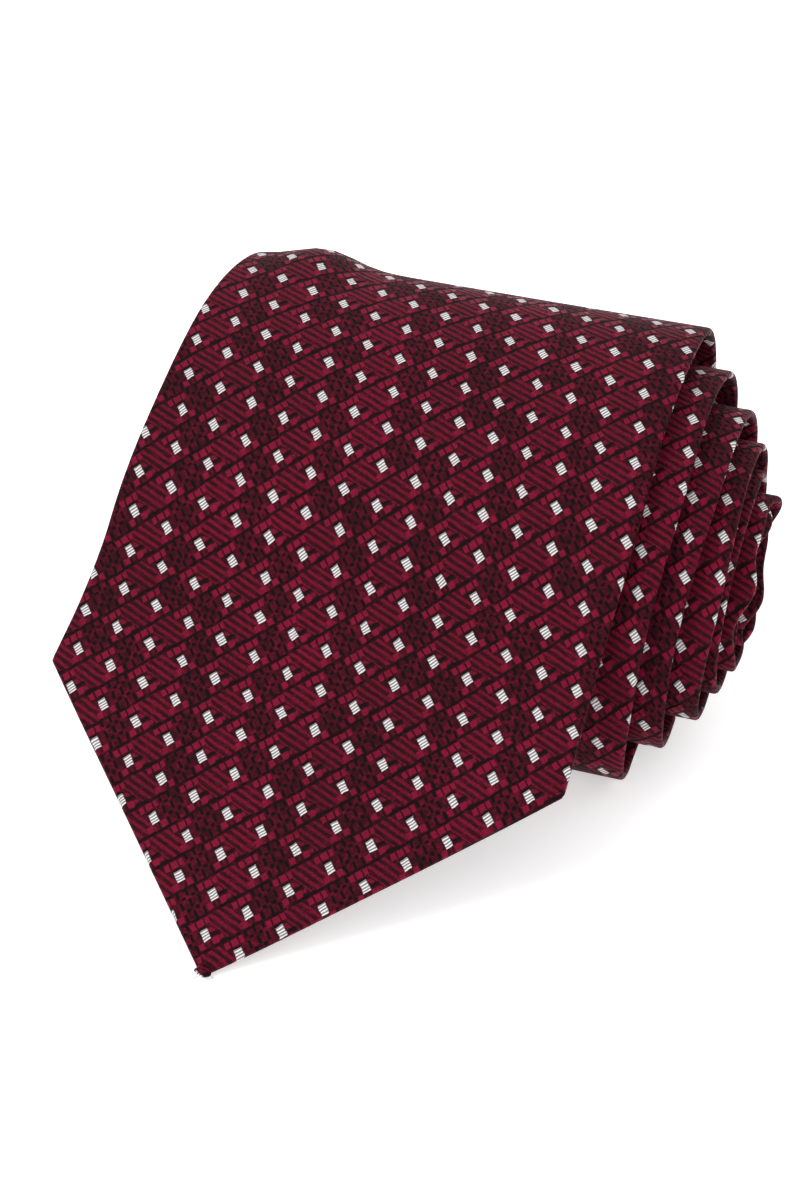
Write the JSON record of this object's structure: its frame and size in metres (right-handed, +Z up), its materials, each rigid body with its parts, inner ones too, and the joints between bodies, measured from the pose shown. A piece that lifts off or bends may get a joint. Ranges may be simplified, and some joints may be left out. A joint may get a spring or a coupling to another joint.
{
  "type": "rolled necktie",
  "caption": "Bias-cut woven necktie folded in half and rolled for display, its wide pointed blade sloping down from the roll to the table.",
  "frame": {"origin": "on the table, under the middle of the rolled tie's box", "axes": "+X along the roll's axis towards the stepped end, +Y from the blade's tip to the back of the roll, +Z up"},
  "size_m": [0.1026, 0.1146, 0.0517],
  "materials": {
    "jacquard": "bias-cut jacquard in burgundy and charcoal with small white squares, satin sheen",
    "interlining": "brushed wool blend, matt",
    "tipping": "plain charcoal lining, smooth",
    "thread": "twisted sewing thread",
    "label": "blank black satin"
  },
  "bodies": {
    "roll": {"blade_shell": "jacquard", "neck_shell": "jacquard", "tail_shell": "jacquard", "interlining": "interlining", "slip_stitch_thread": "thread", "blade_seam_stitching": "thread", "tail_seam_stitching": "thread", "keeper_loop": "jacquard", "care_label": "label"},
    "flap": {"blade_flap_shell": "jacquard", "blade_flap_interlining": "interlining", "blade_tipping": "tipping", "blade_bar_tack": "thread", "tail_flap_shell": "jacquard", "tail_flap_interlining": "interlining", "tail_tipping": "tipping", "tail_bar_tack": "thread"}
  },
  "joints": [
    {"name": "flap_lift", "type": "hinge", "parent": "roll", "child": "flap", "pos_m": [-0.0082, 0.02832, 0.04954], "axis": [-1, 0, 0], "range_deg": [0, 90]}
  ]
}
